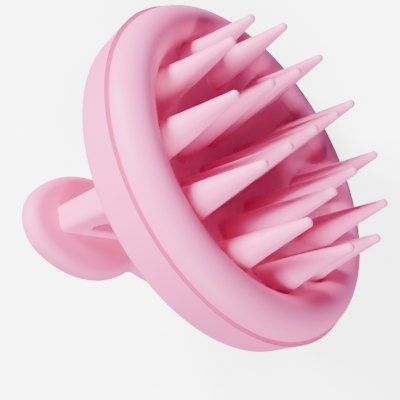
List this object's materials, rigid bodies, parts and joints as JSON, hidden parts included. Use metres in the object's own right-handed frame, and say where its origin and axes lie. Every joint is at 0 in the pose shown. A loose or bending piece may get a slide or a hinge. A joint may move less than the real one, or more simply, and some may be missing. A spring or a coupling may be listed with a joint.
{
  "type": "scalp massager brush",
  "caption": "Hand brush for massaging the scalp: round dished soft head with conical teeth, domed shell, flat web with a slot, and a two-lobed mushroom grip.",
  "frame": {"origin": "on the floor under the tooth tips, on the brush's axis", "axes": "+Z from the tooth tips to the grip; the grip and its web are long in Y and thin in X"},
  "size_m": [0.08, 0.08, 0.0662],
  "materials": {
    "pad_silicone": "matte moulded silicone, pink",
    "tooth_silicone": "matte moulded silicone, pink, slightly translucent tips",
    "shell_plastic": "satin soft-touch moulded plastic, pink",
    "grip_skin": "satin soft-touch moulded plastic, pink",
    "carrier_plastic": "plain moulded, off-white",
    "seal_rubber": "matte",
    "screw_steel": "stainless"
  },
  "bodies": {
    "handle": {"head_shell": "shell_plastic", "stem_gasket": "seal_rubber", "stem_screws": "screw_steel", "handle_frame": "shell_plastic", "grip_base": "grip_skin", "grip_cover": "grip_skin"},
    "brush_head": {"bristle_pad": "pad_silicone", "outer_bristles": "tooth_silicone", "inner_bristles": "tooth_silicone", "centre_bristle": "tooth_silicone", "pad_carrier": "carrier_plastic", "seal_ring": "seal_rubber"}
  },
  "joints": [
    {"name": "head_pull_off", "type": "slide", "parent": "handle", "child": "brush_head", "axis": [0, 0, -1], "range_m": [0, 0.03]}
  ]
}
